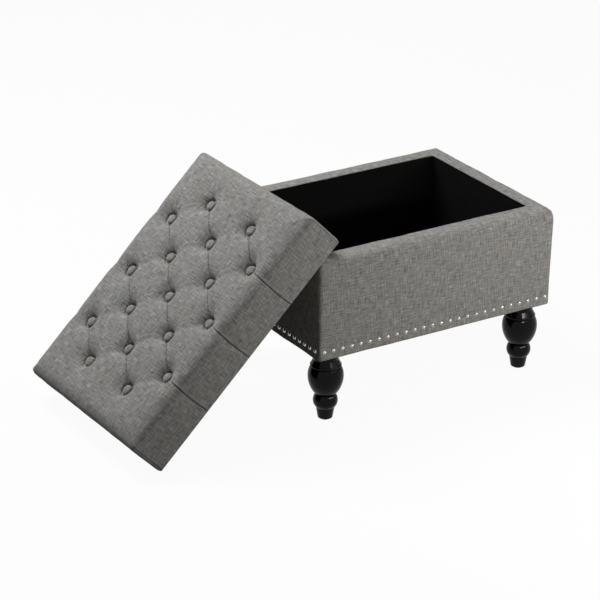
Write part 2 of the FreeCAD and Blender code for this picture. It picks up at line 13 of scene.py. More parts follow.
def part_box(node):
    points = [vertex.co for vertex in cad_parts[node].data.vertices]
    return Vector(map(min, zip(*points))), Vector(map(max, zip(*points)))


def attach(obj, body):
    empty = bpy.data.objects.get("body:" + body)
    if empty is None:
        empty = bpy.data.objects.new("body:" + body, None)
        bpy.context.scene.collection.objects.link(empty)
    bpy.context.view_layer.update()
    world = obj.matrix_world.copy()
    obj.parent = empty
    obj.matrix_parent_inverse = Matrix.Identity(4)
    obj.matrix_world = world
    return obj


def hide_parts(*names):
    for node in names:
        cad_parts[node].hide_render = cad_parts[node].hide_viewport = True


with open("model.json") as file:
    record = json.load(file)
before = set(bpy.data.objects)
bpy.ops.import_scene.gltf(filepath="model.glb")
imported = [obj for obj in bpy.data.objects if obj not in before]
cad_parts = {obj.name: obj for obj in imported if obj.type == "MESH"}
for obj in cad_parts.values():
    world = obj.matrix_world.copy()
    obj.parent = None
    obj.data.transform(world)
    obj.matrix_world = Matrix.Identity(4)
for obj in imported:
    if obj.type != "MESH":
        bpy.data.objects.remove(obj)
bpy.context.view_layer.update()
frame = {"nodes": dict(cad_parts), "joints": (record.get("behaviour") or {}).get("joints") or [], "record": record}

# Box, read from the frame
BOX_LOW, BOX_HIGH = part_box("box_cover")
HALF_LENGTH = BOX_HIGH.x
HALF_WIDTH = BOX_HIGH.y
LEG_TOP = BOX_LOW.z
RIM_TOP = BOX_HIGH.z
RIM_WIDTH = HALF_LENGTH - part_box("lining_right")[0].x
LINING_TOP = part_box("lining_front")[1].z

# Fabric of the box. The closed lid rests just clear of the rim's crest.
RIM_CREST = RIM_TOP - 0.0008
RIM_FALL = 0.0012
RIM_INNER_RADIUS = 0.005
RIM_INNER_HEIGHT = RIM_INNER_RADIUS - 0.0025
RIM_OVERLAP = 0.0009
LINING_TUCK = 0.0015
LINING_LAP = 0.0005
RIM_ROLL_WIDTH = 0.022
RIM_ROLL_DROP = 0.031
RIM_ROLL_POWER = 0.85
RIM_SWELL = 0.0038
BOX_CORNER_RADIUS = 0.0065
BOX_HEM = 0.024
BOX_HEM_EDGE = 0.002
WALL_STEP = 0.006
WALL_PUFF = 0.0018
LEAST_PUFF = 0.0002
PUFF_EASE = 0.02
WALL_SKIN = 0.012
WALL_HOLD = 0.15
WALL_HELD_BELOW = 0.16  # share of the wall's height that is held in full
CORNER_STEPS = 5

# Pulls at the box's upper corners
PULL_HEIGHT = 0.00035
PULL_PITCH = 0.0095
PULL_LENGTH = 0.035
PULL_DROP = 0.05
PULL_START = 0.004

# Nails
NAIL_Z = (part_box("nails_front")[0].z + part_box("nails_front")[1].z) / 2
NAIL_RADIUS = 0.005
NAILS_LONG = 26
NAILS_SHORT = 21
NAIL_DENT = 0.0016
NAIL_DENT_RADIUS = 0.0065

# Lid, in its own frame: Z up from the underside
LID_LENGTH = 0.606
LID_WIDTH = 0.451
LID_HEIGHT = 0.108
LID_HALF = np.array([LID_LENGTH, LID_WIDTH]) / 2
LID_EDGE_RADIUS = 0.022
LID_CORNER_RADIUS = 0.008
STRETCHER_HEIGHT = 0.016
CORNER_SEAM = np.array([0.0055, 0.004])
HEM_TUCK = 0.003
HEM_HEIGHT = 0.012
TOP_SINK = 0.001  # makes room for the puff

# Tufting
TUFT_X = 0.070
TUFT_Y = 0.082
TUFT_COLUMNS = 3
BUTTON_RADIUS = 0.0114
BUTTON_EDGE = 0.0938
BUTTON_CROWN = 0.0040
BUTTON_SPOKES = 48
BUTTON_PUCKERS = 11
BUTTON_CLOTH_OFFSET = 0.37
BUTTON_PROFILE = (  # share of the radius, and height in crowns
    (0.0, 1.0), (0.2, 0.985), (0.4, 0.93), (0.6, 0.82), (0.75, 0.68), (0.87, 0.45),
    (0.95, 0.18), (0.99, -0.2), (1.0, -0.7), (0.97, -1.2), (0.9, -1.6), (0.6, -1.8),
)
DISH_RADIUS = 0.037
DISH_DEPTH = 0.0158
DISH_POWER = 2.6
DISH_DRAW = 0.22
SEAT_RADIUS = 0.0115
MOAT_RADIUS = 0.0130
MOAT_WIDTH = 0.0021
MOAT_DEPTH = 0.0034
TUFT_UP = np.array([TUFT_X, TUFT_Y]) / math.hypot(TUFT_X, TUFT_Y)

# Valleys in the lid's cloth: between buttons, and over the front, back and end edges
VALLEY_DEPTH = 0.0018
VALLEY_END_DEPTH = 0.0040
VALLEY_WIDTH = 0.011
FRONT_VALLEY = 0.0030
BACK_VALLEY = 0.0022
END_VALLEY = 0.0006
EDGE_VALLEY_WIDTH = 0.017

# Pleats in the lid's cloth, as (width, depth, height of the lip beside it)
FOLD_PLEAT = (0.0009, 0.0030, 0.0010)
FOLD_BOW = -0.005
ARC_PLEAT = (0.0020, 0.0006, 0.0004)
ARC_BOW = -0.015
SEAM_PLEAT = (0.0010, 0.0016, 0.0006)
SIDE_PLEAT_LEAN = 0.004
SIDE_PLEAT_BOW = 0.004
SIDE_PLEAT_WIDTH = 0.0012
FRONT_PLEAT_DEPTH = 0.0036
BACK_PLEAT_DEPTH = 0.0010
END_PLEAT_LEAN = 0.012
END_PLEAT_BOW = -0.010
END_PLEAT_WIDTH = 0.0022
LOWER_PLEAT_DEPTH = 0.0008
UPPER_PLEAT_DEPTH = 0.0002
PUCKER_WIDTH = 0.0012
PUCKER_DEPTH = 0.0030
FAINT_PUCKER_DEPTH = 0.0012
PUCKER_LIP = 0.0004
CRISP_DEPTH = 0.0012  # deeper faces of a pleat are shaded flat
SNAP = 0.0008  # vertices nearer than this to a pleat's line are drawn onto it

# Loose waves in the cloth, as (height, size, random seed)
LID_WAVES = ((0.00035, 0.055, 3), (0.00012, 0.018, 4))
WALL_WAVES = ((0.0004, 0.09, 5), (0.0002, 0.03, 6))

# Meshes and simulation
TINY = 1e-6
LATTICE = 0.005
HEM_CELLS = 5
PUFF_FRAMES = 20
PUFF_PRESSURE = 4.0
TOP_CAP = 0.008
SIDE_CAP = 0.0007
CAP_EASE = 0.05
BUTTON_HOLD = 0.012
SIDE_HOLD = 0.3  # where the lid's cloth has come down by SIDE_HOLD_DROP
SIDE_HOLD_DROP = 0.03

# Camera and backdrop
CAMERA_AIM = Vector((-0.208, 0.002, 0.197))
CAMERA_AZIMUTH = 32.35
CAMERA_ELEVATION = 23.72
CAMERA_ROLL = 0.6
CAMERA_DISTANCE = 6.305
CAMERA_LENS = 174.0
CAMERA_SENSOR = 36.0
FLOOR_HALF = 12.0
FLOOR_GLOW = 0.95

# Light
SKY_LIGHT = 0.035
KEY_PLACE = Vector((-1.0, 1.21, 2.83))
KEY_AIM = Vector((-0.2, 0, 0.25))
KEY_SIZE = (1.6, 1.6)
KEY_POWER = 92.0
KEY_TINT = (0.962, 0.972, 1.0)
FILL_PLACE = Vector((0.5, -1.3, 0.68))
FILL_AIM = Vector((0.45, 0, 0.25))
FILL_SIZE = (1.25, 0.09)
FILL_POWER = 11.6
FILL_TINT = (1, 1, 1)


# ---------------------------------------------------------------- materials

class Nodes:
    """A material's node tree, with short calls for the nodes that this scene uses."""

    def __init__(self, name):
        self.material = bpy.data.materials.new(name)
        self.material.use_nodes = True
        self.tree = self.material.node_tree
        self.tree.nodes.clear()
        self.output = self.tree.nodes.new("ShaderNodeOutputMaterial")
        self.shader = self.tree.nodes.new("ShaderNodeBsdfPrincipled")
        self.tree.links.new(self.shader.outputs[0], self.output.inputs["Surface"])

    def add(self, kind, **settings):
        """A node with its settings, each the name of a property or of an input."""
        node = self.tree.nodes.new("ShaderNode" + kind)
        for key, value in settings.items():
            self.put(node, key, value)
        return node

    def feed(self, socket, value):
        """Link a socket to another one, or set its number or colour."""
        if isinstance(value, bpy.types.NodeSocket):
            self.tree.links.new(value, socket)
        else:
            socket.default_value = value

    def put(self, node, key, value):
        """Set one property or input of a node, or link the input if the value is a socket."""
        if hasattr(node, key) and not isinstance(value, bpy.types.NodeSocket):
            setattr(node, key, value)
        else:
            self.feed(node.inputs[key], value)

    def math(self, operation, a, b=0.0):
        node = self.add("Math", operation=operation)
        self.feed(node.inputs[0], a)
        self.feed(node.inputs[1], b)
        return node.outputs[0]

    def scaled(self, vector, scale):
        """The vector with each component times its own factor."""
        node = self.add("VectorMath", operation="MULTIPLY")
        self.feed(node.inputs[0], vector)
        self.feed(node.inputs[1], scale)
        return node.outputs[0]

    def noise(self, place, scale, detail=2.0, roughness=0.5):
        """Noise with this many cells to the metre: one number for all axes, or one for each."""
        axes = scale if isinstance(scale, tuple) else (scale,) * 3
        return self.add("TexNoise", Vector=self.scaled(place, axes), Scale=1.0, Detail=detail,
                        Roughness=roughness).outputs[0]

    def ramp(self, value, stops):
        """A colour ramp through (position, colour) stops."""
        node = self.add("ValToRGB", Fac=value)
        ramp = node.color_ramp
        while len(ramp.elements) < len(stops):
            ramp.elements.new(0.5)
        for element, (position, colour) in zip(ramp.elements, stops):
            element.position = position
            element.color = (*colour, 1.0)
        return node.outputs[0]

    def tinted(self, first, second):
        """One colour times the other."""
        node = self.add("Mix", data_type="RGBA", blend_type="MULTIPLY")
        for number, value in ((0, 1.0), (6, first), (7, second)):
            self.feed(node.inputs[number], value)
        return node.outputs[2]

    def grey(self, value, low, high, start=0.0, end=1.0):
        """Maps start..end to low..high."""
        node = self.add("MapRange", Value=value)
        for key, number in (("From Min", start), ("From Max", end), ("To Min", low),
                            ("To Max", high)):
            self.put(node, key, number)
        return node.outputs[0]

    def bump(self, height, strength, distance, under=None):
        """A bump from a height, over another one if that is given."""
        node = self.add("Bump", Height=height, Strength=strength, Distance=distance)
        if under is not None:
            self.put(node, "Normal", under)
        return node.outputs[0]

    def mixed(self, share, first, second):
        """Two shaders mixed."""
        node = self.add("MixShader")
        for number, value in enumerate((share, first, second)):
            self.feed(node.inputs[number], value)
        return node.outputs[0]

    def finish(self, colour=None, normal=None, roughness=None, **constants):
        """Wire up the shader: linked colour, bump and roughness, and plain numbers for the rest."""
        for key, value in (("Base Color", colour), ("Normal", normal), ("Roughness", roughness)):
            if value is not None:
                self.put(self.shader, key, value)
        for key, value in constants.items():
            self.shader.inputs[key.replace("_", " ")].default_value = value
        return self.material


def thread_coordinates(nodes):
    """Coordinates along the threads of the cloth, in metres, from the piece's own map."""
    return nodes.add("UVMap", uv_map="threads").outputs[0]


def object_coordinates(nodes):
    """Coordinates in the piece's own space, in metres."""
    return nodes.add("TexCoord").outputs["Object"]


def weave(nodes, cloth, pitch):
    """Height of a plain weave with the given thread pitch, from 0 to 1."""
    split = nodes.add("SeparateXYZ", Vector=cloth)
    turns = 2 * math.pi / pitch
    warp = nodes.math("SINE", nodes.math("MULTIPLY", split.outputs[0], turns))
    weft = nodes.math("SINE", nodes.math("MULTIPLY", split.outputs[1], turns))
    return nodes.grey(nodes.math("MULTIPLY", warp, weft), 0.0, 1.0, -1.0, 1.0)


def yarns(nodes, cloth, along, across):
    """The shade of one set of threads: even, with scattered paler and darker slubs along them."""
    slubs = nodes.noise(cloth, (along, across, 1), roughness=0.45)
    return nodes.ramp(slubs, [(0.32, (0.50,) * 3), (0.43, (0.69,) * 3), (0.57, (0.76,) * 3),
                              (0.70, (0.98,) * 3)])


def linen():
    """Heathered grey linen-look upholstery: crossing threads with slubs of light and dark yarn."""
    nodes = Nodes("heathered_linen")
    cloth = thread_coordinates(nodes)
    crossed = nodes.tinted(yarns(nodes, cloth, 50, 340), yarns(nodes, cloth, 360, 44))
    fine = nodes.noise(cloth, (460, 460, 1), detail=3, roughness=0.65)
    ground = nodes.ramp(fine, [(0.35, (0.478, 0.462, 0.438)), (0.65, (0.631, 0.611, 0.585))])
    drift = nodes.noise(cloth, (26, 26, 1), detail=2)
    tints = nodes.ramp(drift, [(0.38, (1.0, 0.978, 0.955)), (0.62, (0.975, 1.0, 0.995))])
    colour = nodes.tinted(nodes.tinted(ground, crossed), tints)
    threads = nodes.math("MULTIPLY", weave(nodes, cloth, 0.0011), 0.4)
    normal = nodes.bump(nodes.math("ADD", threads, crossed), 0.45, 0.0006)
    roughness = nodes.grey(crossed, 0.95, 0.84, 0.3, 0.8)
    return nodes.finish(colour, normal, roughness, Sheen_Weight=0.06, Sheen_Roughness=0.4,
                        Specular_IOR_Level=0.08)


def black_lining():
    """Matt black cotton over board, with a faint twill and soft creases."""
    nodes = Nodes("black_lining_cloth")
    place = object_coordinates(nodes)
    twill = nodes.noise(place, (900, 900, 380), detail=2)
    crease = nodes.noise(place, (14, 14, 26), detail=3)
    colour = nodes.ramp(twill, [(0.35, (0.002, 0.002, 0.002)), (0.65, (0.008, 0.008, 0.0075))])
    normal = nodes.bump(twill, 0.35, 0.0004, nodes.bump(crease, 0.3, 0.004))
    return nodes.finish(colour, normal, Roughness=0.93, Specular_IOR_Level=0.06)


def dust_cloth():
    """Thin black non-woven cloth."""
    nodes = Nodes("black_dust_cloth")
    place = object_coordinates(nodes)
    fibres = nodes.noise(place, 420, detail=4, roughness=0.7)
    colour = nodes.ramp(fibres, [(0.35, (0.008, 0.008, 0.008)), (0.65, (0.03, 0.03, 0.03))])
    normal = nodes.bump(fibres, 0.4, 0.0004)
    return nodes.finish(colour, normal, Roughness=0.9, Specular_IOR_Level=0.2)


def lacquer():
    """Glossy black lacquer over turned wood, browner low on the foot."""
    nodes = Nodes("black_lacquer")
    place = object_coordinates(nodes)
    height = nodes.add("SeparateXYZ", Vector=place).outputs[2]
    peel = nodes.noise(place, 260, detail=1)
    smear = nodes.noise(place, 30, detail=3)
    worn = nodes.math("ADD", height, nodes.grey(smear, -0.006, 0.006))
    colour = nodes.ramp(nodes.grey(worn, 0.0, 1.0, 0.0, 0.04),
                        [(0.0, (0.020, 0.008, 0.005)), (0.45, (0.007, 0.004, 0.003)),
                         (1.0, (0.003, 0.003, 0.003))])
    roughness = nodes.grey(smear, 0.07, 0.13, 0.3, 0.7)
    normal = nodes.bump(peel, 0.015, 0.0004)
    return nodes.finish(colour, normal, roughness, Specular_IOR_Level=0.10)


def nickel():
    """Polished nickel nail heads with a little tarnish."""
    nodes = Nodes("polished_nickel")
    place = object_coordinates(nodes)
    tarnish = nodes.noise(place, 160, detail=3)
    colour = nodes.ramp(tarnish, [(0.3, (0.27, 0.26, 0.235)), (0.7, (0.44, 0.425, 0.39))])
    roughness = nodes.grey(tarnish, 0.18, 0.30, 0.3, 0.7)
    return nodes.finish(colour, None, roughness, Metallic=1.0)


def zinc_steel():
    """Zinc-plated steel with a faint spangle."""
    nodes = Nodes("zinc_plated_steel")
    place = object_coordinates(nodes)
    spangle = nodes.noise(place, 500, detail=2)
    colour = nodes.ramp(spangle, [(0.3, (0.45, 0.45, 0.44)), (0.7, (0.66, 0.66, 0.64))])
    return nodes.finish(colour, None, nodes.grey(spangle, 0.3, 0.45), Metallic=1.0)


def pale_wood():
    """Raw plywood and pine, with the grain along X."""
    nodes = Nodes("raw_plywood")
    place = object_coordinates(nodes)
    rings = nodes.noise(place, (9, 130, 130), detail=4, roughness=0.6)
    pores = nodes.noise(place, (60, 900, 900), detail=2)
    tone = nodes.math("ADD", nodes.math("MULTIPLY", rings, 0.8), nodes.math("MULTIPLY", pores, 0.2))
    colour = nodes.ramp(tone, [(0.3, (0.40, 0.25, 0.12)), (0.5, (0.56, 0.38, 0.20)),
                               (0.7, (0.68, 0.50, 0.30))])
    return nodes.finish(colour, nodes.bump(tone, 0.3, 0.0005), Roughness=0.7)


def foam():
    """Open-cell upholstery foam."""
    nodes = Nodes("upholstery_foam")
    place = object_coordinates(nodes)
    cells = nodes.add("TexVoronoi", Vector=nodes.scaled(place, (700, 700, 700))).outputs["Distance"]
    colour = nodes.ramp(cells, [(0.1, (0.52, 0.47, 0.33)), (0.7, (0.80, 0.76, 0.62))])
    return nodes.finish(colour, nodes.bump(cells, 0.5, 0.0006), Roughness=0.95)


def black_plastic():
    """Moulded black plastic with a fine grain."""
    nodes = Nodes("black_moulded_plastic")
    place = object_coordinates(nodes)
    grain = nodes.noise(place, 900, detail=2)
    colour = nodes.ramp(grain, [(0.3, (0.012, 0.012, 0.012)), (0.7, (0.026, 0.026, 0.026))])
    return nodes.finish(colour, nodes.bump(grain, 0.2, 0.0003), Roughness=0.5)


def twine():
    """Waxed twine with its strands along Z."""
    nodes = Nodes("waxed_twine")
    place = object_coordinates(nodes)
    strands = nodes.noise(place, (700, 700, 300), detail=3)
    colour = nodes.ramp(strands, [(0.3, (0.50, 0.46, 0.36)), (0.7, (0.74, 0.70, 0.60))])
    return nodes.finish(colour, nodes.bump(strands, 0.4, 0.0005), Roughness=0.8)


LINEN = linen()
SLOT_MATERIALS = {
    "linen_fabric": LINEN,
    "black_lining": black_lining(),
    "dust_cloth": dust_cloth(),
    "black_lacquered_wood": lacquer(),
    "nickel": nickel(),
    "steel": zinc_steel(),
    "plywood": pale_wood(),
    "foam": foam(),
    "glide_plastic": black_plastic(),
    "twine": twine(),
}


def dress(obj, material):
    """Give a piece one material in place of any other."""
    obj.data.materials.clear()
    obj.data.materials.append(material)


def dress_cad_nodes():
    """Give every CAD node its slot's material, and smooth normals where faces nearly line up."""
    for part in frame["record"]["subparts"]:
        node = frame["nodes"][part["node"]]
        dress(node, SLOT_MATERIALS[part["material_slot"]])
        node.data.shade_smooth()
        node.data.set_sharp_from_angle(angle=math.radians(32))


# ---------------------------------------------------------------- cloth meshes

def add_to_scene(name, data):
    """An object of the given mesh, light or camera, linked into the scene."""
    obj = bpy.data.objects.new(name, data)
    bpy.context.scene.collection.objects.link(obj)
    return obj


def new_piece(name, points, faces):
    """A mesh object from points and faces."""
    mesh = bpy.data.meshes.new(name)
    mesh.from_pydata([tuple(point) for point in points], [], faces)
    mesh.update()
    return add_to_scene(name, mesh)


def read_points(mesh, attribute="position"):
    """The positions, or another stored vector, of all the points."""
    data = mesh.attributes[attribute].data
    values = np.empty(len(data) * 3, np.float32)
    data.foreach_get("vector", values)
    return values.reshape(-1, 3).astype(float)


def write_points(mesh, points):
    """Move the points of a mesh."""
    mesh.vertices.foreach_set("co", np.asarray(points, np.float32).ravel())
    mesh.update()


def store_vectors(mesh, name, vectors):
    """Store a vector for each point, which subdivision then carries along."""
    layer = mesh.attributes.new(name, "FLOAT_VECTOR", "POINT")
    layer.data.foreach_set("vector", np.asarray(vectors, np.float32).ravel())


def read_normals(mesh):
    """The normals of all the points."""
    values = np.empty(len(mesh.vertices) * 3, np.float32)
    mesh.vertex_normals.foreach_get("vector", values)
    return values.reshape(-1, 3).astype(float)


def face_corners(mesh):
    """Each face corner's vertex and face, and the number of corners of each face."""
    corner_vertex = np.empty(len(mesh.loops), np.int32)
    mesh.loops.foreach_get("vertex_index", corner_vertex)
    counts = np.empty(len(mesh.polygons), np.int32)
    mesh.polygons.foreach_get("loop_total", counts)
    return corner_vertex, np.repeat(np.arange(len(counts)), counts), counts


def face_middles(at, owner, counts):
    """The middle of each face, from the places of its corners."""
    return np.stack([np.bincount(owner, at[:, axis]) / counts for axis in range(3)], 1)


def store_threads(mesh, flat):
    """Store each face corner's place along the threads as the map that the linen follows."""
    layer = mesh.uv_layers.new(name="threads")
    layer.uv.foreach_set("vector", flat.astype(np.float32).ravel())


def refine(obj):
    """Apply one level of subdivision."""
    modifier = obj.modifiers.new("refine", "SUBSURF")
    modifier.levels = 1
    modifier.render_levels = 1
    graph = bpy.context.evaluated_depsgraph_get()
    done = bpy.data.meshes.new_from_object(obj.evaluated_get(graph), depsgraph=graph)
    old = obj.data
    obj.modifiers.clear()
    obj.data = done
    done.name = obj.name
    bpy.data.meshes.remove(old)


def puff(obj, held, cap):
    """Blow a cloth mesh out against its held points, and move no point further than its cap."""
    rest = read_points(obj.data)
    group = obj.vertex_groups.new(name="held")
    levels = np.round(held, 1)
    for level in np.unique(levels):
        if level > 0:
            group.add(np.nonzero(levels == level)[0].tolist(), float(level), "REPLACE")
    cloth = obj.modifiers.new("cloth", "CLOTH")
    settings = cloth.settings
    settings.quality = 6
    settings.mass = 0.25
    settings.tension_stiffness = 25
    settings.compression_stiffness = 25
    settings.shear_stiffness = 8
    settings.bending_stiffness = 1.5
    settings.tension_damping = 10
    settings.compression_damping = 10
    settings.use_pressure = True
    settings.uniform_pressure_force = PUFF_PRESSURE
    settings.vertex_group_mass = "held"
    settings.pin_stiffness = 2.0
    settings.effector_weights.gravity = 0.0
    cloth.collision_settings.use_collision = False
    cloth.point_cache.frame_start = 1
    cloth.point_cache.frame_end = PUFF_FRAMES
    scene = bpy.context.scene
    for step in range(1, PUFF_FRAMES + 1):
        scene.frame_set(step)
    graph = bpy.context.evaluated_depsgraph_get()
    moved = read_points(obj.evaluated_get(graph).data)
    obj.modifiers.clear()
    obj.vertex_groups.clear()
    scene.frame_set(1)
    shift = moved - rest
    length = np.linalg.norm(shift, axis=1)
    limited = cap * np.tanh(length / cap)
    write_points(obj.data, rest + shift * (limited / np.maximum(length, 1e-9))[:, None])


def wavy(points, size, seed):
    """Smooth random height at each point, about -1 to 1, from a few crossing sine waves."""
    source = np.random.default_rng(seed)
    total = np.zeros(len(points))
    waves = 7
    for wave in range(waves):
        way = source.normal(size=3)
        way *= 2 * math.pi / (size * source.uniform(0.7, 1.5) * np.linalg.norm(way))
        total += np.sin(points @ way + source.uniform(0, 2 * math.pi))
    return total / (waves / 2)


def waves_of(points, layers):
    """The height at each point of several layers of waves."""
    return sum(height * wavy(points, size, seed) for height, size, seed in layers)


# ---------------------------------------------------------------- lid

def box_lattice(counts):
    """Grid over a box's surface, whose bottom is only a hem: (index triples, faces)."""
    nx, ny, nz = counts
    index = {}
    faces = []

    def quad(*corners):
        faces.append(tuple(index.setdefault(corner, len(index)) for corner in corners))

    for i in range(nx):
        for j in range(ny):
            quad((i, j, nz), (i + 1, j, nz), (i + 1, j + 1, nz), (i, j + 1, nz))
            if min(i, nx - 1 - i, j, ny - 1 - j) < HEM_CELLS:
                quad((i, j + 1, 0), (i + 1, j + 1, 0), (i + 1, j, 0), (i, j, 0))
    for k in range(nz):
        for i in range(nx):
            quad((i, 0, k), (i + 1, 0, k), (i + 1, 0, k + 1), (i, 0, k + 1))
            quad((i + 1, ny, k), (i, ny, k), (i, ny, k + 1), (i + 1, ny, k + 1))
        for j in range(ny):
            quad((0, j + 1, k), (0, j, k), (0, j, k + 1), (0, j + 1, k + 1))
            quad((nx, j, k), (nx, j + 1, k), (nx, j + 1, k + 1), (nx, j, k + 1))
    return np.array(list(index), float), faces


def corner_distance(gaps):
    """Signed distance to a square corner, from the signed distances to its two sides."""
    return np.linalg.norm(np.maximum(gaps, 0), axis=1) + np.minimum(gaps.max(1), 0)


def slab_distance(points):
    """Signed distance to a slab with rounded upright corners and rounded upper edges."""
    plan = np.abs(points[:, :2]) - (LID_HALF - LID_CORNER_RADIUS)
    outline = corner_distance(plan) - LID_CORNER_RADIUS
    above = points[:, 2] - (LID_HEIGHT - LID_EDGE_RADIUS)
    return corner_distance(np.stack([outline + LID_EDGE_RADIUS, above], 1)) - LID_EDGE_RADIUS


def slab_core(points):
    """The nearest place to each point in the slab without its rounded edges."""
    core = points.copy()
    core[:, :2] = np.clip(core[:, :2], LID_EDGE_RADIUS - LID_HALF, LID_HALF - LID_EDGE_RADIUS)
    core[:, 2] = np.minimum(core[:, 2], LID_HEIGHT - LID_EDGE_RADIUS)
    return core


def onto_slab(points):
    """Move box-surface points in to the rounded slab, each along its line from the slab's core."""
    core = slab_core(points)
    near = np.zeros(len(points))
    far = np.full(len(points), 1.2)
    for halving in range(28):
        middle = (near + far) / 2
        inside = slab_distance(core + (points - core) * middle[:, None]) < 0
        near = np.where(inside, middle, near)
        far = np.where(inside, far, middle)
    hem = points[:, 2] < TINY
    tucked = points.copy()
    tucked[:, :2] = np.clip(tucked[:, :2], HEM_TUCK - LID_HALF, LID_HALF - HEM_TUCK)
    return np.where(hem[:, None], tucked, core + (points - core) * near[:, None])


def tuft_places():
    """Button places on the lid: columns of two and three that alternate."""
    places = []
    for column in range(-TUFT_COLUMNS, TUFT_COLUMNS + 1):
        rows = (-1, 1) if column % 2 else (-2, 0, 2)
        places += [(column, row) for row in rows]
    return places


def tuft_point(place):
    """A button's place in metres, from its column and row."""
    return np.array([place[0] * TUFT_X, place[1] * TUFT_Y])


def from_tuft(flat, place):
    """Each point's distance from a button."""
    return np.linalg.norm(flat - tuft_point(place), axis=1)


def smooth(share):
    """Eases 0..1, and holds outside it."""
    share = np.clip(share, 0, 1)
    return share * share * (3 - 2 * share)


def fade(along, margin):
    """1 along a line and 0 past its ends, softened over margin."""
    return smooth(along / margin) * smooth((1 - along) / margin)


def neighbour_lines():
    """Lines between diagonal neighbours, as (start, end, kind) in lid coordinates."""
    places = tuft_places()
    lines = []
    for column, row in places:
        for step, kind in (((-1, -1), "fold"), ((-1, 1), "arc")):
            other = (column + step[0], row + step[1])
            if other in places:
                lines.append((tuft_point((column, row)), tuft_point(other), kind))
    return lines


def edge_lines():
    """Lines from the outer buttons over the edges to the bottom: (start, end, bow, long side)."""
    bottom = LID_HALF + LID_HEIGHT
    lines = []
    for sign in (-1, 1):
        for column in (-2, 0, 2):
            start = tuft_point((column, 2 * sign))
            foot = np.array([start[0] - SIDE_PLEAT_LEAN, sign * bottom[1]])
            lines.append((start, foot, SIDE_PLEAT_BOW * sign, True))
        for row in (-1, 1):
            start = tuft_point((sign * TUFT_COLUMNS, row))
            foot = np.array([sign * bottom[0], start[1] - END_PLEAT_LEAN * sign])
            lines.append((start, foot, END_PLEAT_BOW, False))
    return lines


def frame_of(start, end):
    """Length, direction and sideways direction of a line."""
    way = end - start
    length = np.linalg.norm(way)
    way = way / length
    return length, way, np.array([-way[1], way[0]])


def along_and_off(flat, start, end, bow=0.0):
    """How far each point lies along a line (0 to 1) and off it, for a line bowed sideways."""
    length, way, side = frame_of(start, end)
    along = (flat - start) @ way / length
    return along, (flat - start) @ side - bow * 4 * along * (1 - along)


def dish_depth(flat):
    """How far the buttons pull the cloth down: a cone, drawn out on the side of the next row."""
    depth = np.zeros(len(flat))
    for place in tuft_places():
        away = flat - tuft_point(place)
        r = np.linalg.norm(away, axis=1)
        up = away @ TUFT_UP / np.maximum(r, TINY)
        reach = DISH_RADIUS * (1 + DISH_DRAW * up)
        slope = np.clip(1 - (r - SEAT_RADIUS) / reach, 0, 1)
        depth = np.maximum(depth, DISH_DEPTH * slope ** DISH_POWER)
    return depth


def moat_depth(cloth):
    """The narrow gap that the cloth forms round each button's edge."""
    depth = np.zeros(len(cloth))
    on_top = cloth[:, 2] > LID_HEIGHT - 1e-5
    for place in tuft_places():
        r = from_tuft(cloth[:, :2], place)
        depth += on_top * MOAT_DEPTH * np.exp(-((r - MOAT_RADIUS) / MOAT_WIDTH) ** 2)
    return depth


def valley_depth(flat):
    """Soft valleys between neighbouring buttons, deeper towards each button."""
    depth = np.zeros(len(flat))
    for start, end, kind in neighbour_lines():
        along, off = along_and_off(flat, start, end)
        level = VALLEY_DEPTH + VALLEY_END_DEPTH * np.clip(np.abs(2 * along - 1), 0, 1) ** 2
        depth = np.maximum(depth, level * fade(along, 0.08) * np.exp(-(off / VALLEY_WIDTH) ** 2))
    return depth


def edge_valley(flat):
    """Soft valleys over the edges: how far the cloth is drawn in beside each edge pleat."""
    depth = np.zeros(len(flat))
    for start, end, bow, long_side in edge_lines():
        along, off = along_and_off(flat, start, end, bow)
        reach = END_VALLEY
        if long_side:
            reach = FRONT_VALLEY if start[1] < 0 else BACK_VALLEY
        level = reach * smooth(along / 0.3) * (1 - 0.75 * smooth((along - 0.45) / 0.5))
        depth = np.maximum(depth, level * np.exp(-(off / EDGE_VALLEY_WIDTH) ** 2))
    return depth


def sides_of(cloth):
    """Which points are on the ends and on the long sides, and how far down their cloth has come."""
    inward = LID_HALF - np.abs(cloth[:, :2])
    under = cloth[:, 2] < TINY
    drop = LID_HEIGHT - cloth[:, 2] + under * inward.min(1)
    below = drop > TINY
    end = below & (inward[:, 0] <= inward[:, 1] + TINY)
    return end, below & ~end, drop


def unfold(cloth, end, side, drop):
    """Lid coordinates with the sides and the hem folded out flat."""
    flat = cloth[:, :2].copy()
    flat[end, 0] = np.sign(cloth[end, 0]) * (LID_HALF[0] + drop[end])
    flat[side, 1] = np.sign(cloth[side, 1]) * (LID_HALF[1] + drop[side])
    return flat


